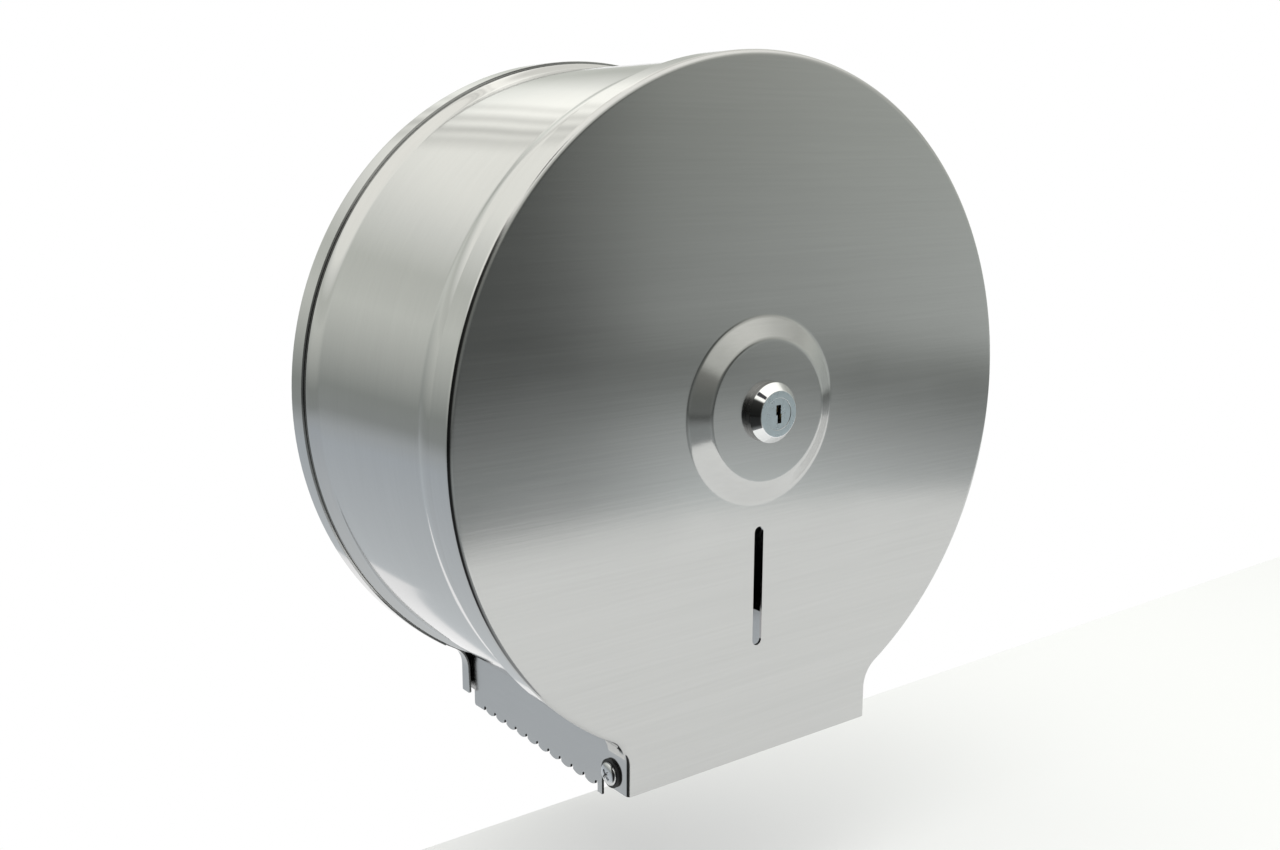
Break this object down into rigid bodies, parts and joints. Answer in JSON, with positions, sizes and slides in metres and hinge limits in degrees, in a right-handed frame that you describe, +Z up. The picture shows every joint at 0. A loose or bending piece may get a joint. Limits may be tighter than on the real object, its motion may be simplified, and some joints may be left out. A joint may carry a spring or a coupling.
{
  "type": "jumbo toilet roll dispenser",
  "caption": "Round stainless wall dispenser for a jumbo toilet roll, with a hinged lid, cam lock, sight slot, turning roll sleeve and toothed tear plates.",
  "frame": {"origin": "middle of the four wall holes, on the wall plane, at the drum's centre", "axes": "+Y into the wall, +Z up, +X to the right for someone facing the lid"},
  "size_m": [0.268, 0.1375, 0.279],
  "materials": {
    "brushed_shell": "horizontally brushed stainless sheet, satin",
    "spindle_steel": "turned and brushed stainless",
    "zinc_hardware": "bright zinc plate",
    "lock_chrome": "polished chrome with a satin key face",
    "lock_brass": "stamped brass",
    "sleeve_plastic": "moulded grey plastic",
    "black_nylon": "moulded black nylon"
  },
  "bodies": {
    "housing": {"back_plate": "brushed_shell", "drum_band": "brushed_shell", "left_tear_plate": "brushed_shell", "right_tear_plate": "brushed_shell", "tear_plate_rivets": "zinc_hardware", "spindle_flange": "spindle_steel", "spindle_tube": "spindle_steel", "spindle_rivets": "zinc_hardware", "strike_plate": "spindle_steel", "thrust_washer": "black_nylon", "sleeve_ring": "zinc_hardware", "left_pivot_screw": "zinc_hardware", "right_pivot_screw": "zinc_hardware", "left_pivot_nut": "zinc_hardware", "right_pivot_nut": "zinc_hardware", "left_pivot_spacer": "black_nylon", "right_pivot_spacer": "black_nylon", "left_pivot_washer": "black_nylon", "right_pivot_washer": "black_nylon"},
    "core_sleeve": {"core_sleeve": "sleeve_plastic"},
    "lid": {"front_lid": "brushed_shell", "lock_barrel": "lock_chrome", "lock_washer": "zinc_hardware", "lock_nut": "zinc_hardware"},
    "lock_plug": {"lock_plug": "lock_chrome", "lock_wafers": "lock_brass", "stop_washer": "zinc_hardware", "lock_cam": "zinc_hardware", "cam_screw": "zinc_hardware"}
  },
  "joints": [
    {"name": "lid_hinge", "type": "hinge", "parent": "housing", "child": "lid", "pos_m": [0, -0.1175, -0.1315], "axis": [1, 0, 0], "range_deg": [0, 105]},
    {"name": "lock_turn", "type": "hinge", "parent": "lid", "child": "lock_plug", "pos_m": [0, -0.13, 0.002], "axis": [0, 1, 0], "range_deg": [0, 90]},
    {"name": "sleeve_spin", "type": "hinge", "parent": "housing", "child": "core_sleeve", "pos_m": [0, -0.05, 0.002], "axis": [0, -1, 0], "continuous": true}
  ]
}
